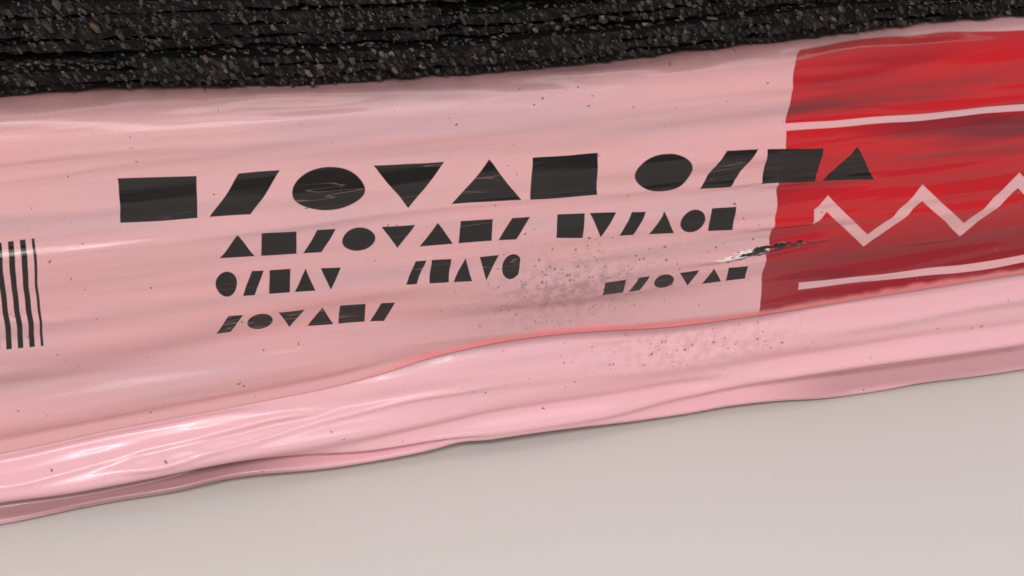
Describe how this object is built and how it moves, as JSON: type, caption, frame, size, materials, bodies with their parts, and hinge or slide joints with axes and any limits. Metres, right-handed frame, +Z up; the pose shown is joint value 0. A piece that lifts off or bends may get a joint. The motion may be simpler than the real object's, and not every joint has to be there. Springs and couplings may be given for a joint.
{
  "type": "asphalt shingle bundle",
  "caption": "Flat bundle of laminated asphalt roofing shingles in a pink plastic film sleeve, with loose shingles of the same kind stacked on top.",
  "frame": {"origin": "middle of the bundle's underside, on the floor", "axes": "+X along the shingles, +Y across them away from the pictured long side, +Z up"},
  "size_m": [1.0092, 0.3502, 0.1104],
  "materials": {
    "asphalt_shingle": "matte",
    "wrap_film": "satin"
  },
  "bodies": {
    "root": {"shingle_01": "asphalt_shingle", "shingle_02": "asphalt_shingle", "shingle_03": "asphalt_shingle", "shingle_04": "asphalt_shingle", "shingle_05": "asphalt_shingle", "shingle_06": "asphalt_shingle", "shingle_07": "asphalt_shingle", "shingle_08": "asphalt_shingle", "shingle_09": "asphalt_shingle", "shingle_10": "asphalt_shingle", "shingle_11": "asphalt_shingle", "shingle_12": "asphalt_shingle", "shingle_13": "asphalt_shingle", "shingle_14": "asphalt_shingle", "shingle_15": "asphalt_shingle", "shingle_16": "asphalt_shingle", "shingle_17": "asphalt_shingle", "shingle_18": "asphalt_shingle", "shingle_19": "asphalt_shingle", "shingle_20": "asphalt_shingle", "shingle_21": "asphalt_shingle", "shingle_22": "asphalt_shingle", "bare_shingle_01": "asphalt_shingle", "bare_shingle_02": "asphalt_shingle", "bare_shingle_03": "asphalt_shingle", "bare_shingle_04": "asphalt_shingle", "bare_shingle_05": "asphalt_shingle", "bare_shingle_06": "asphalt_shingle", "film_wrap": "wrap_film"}
  },
  "joints": []
}
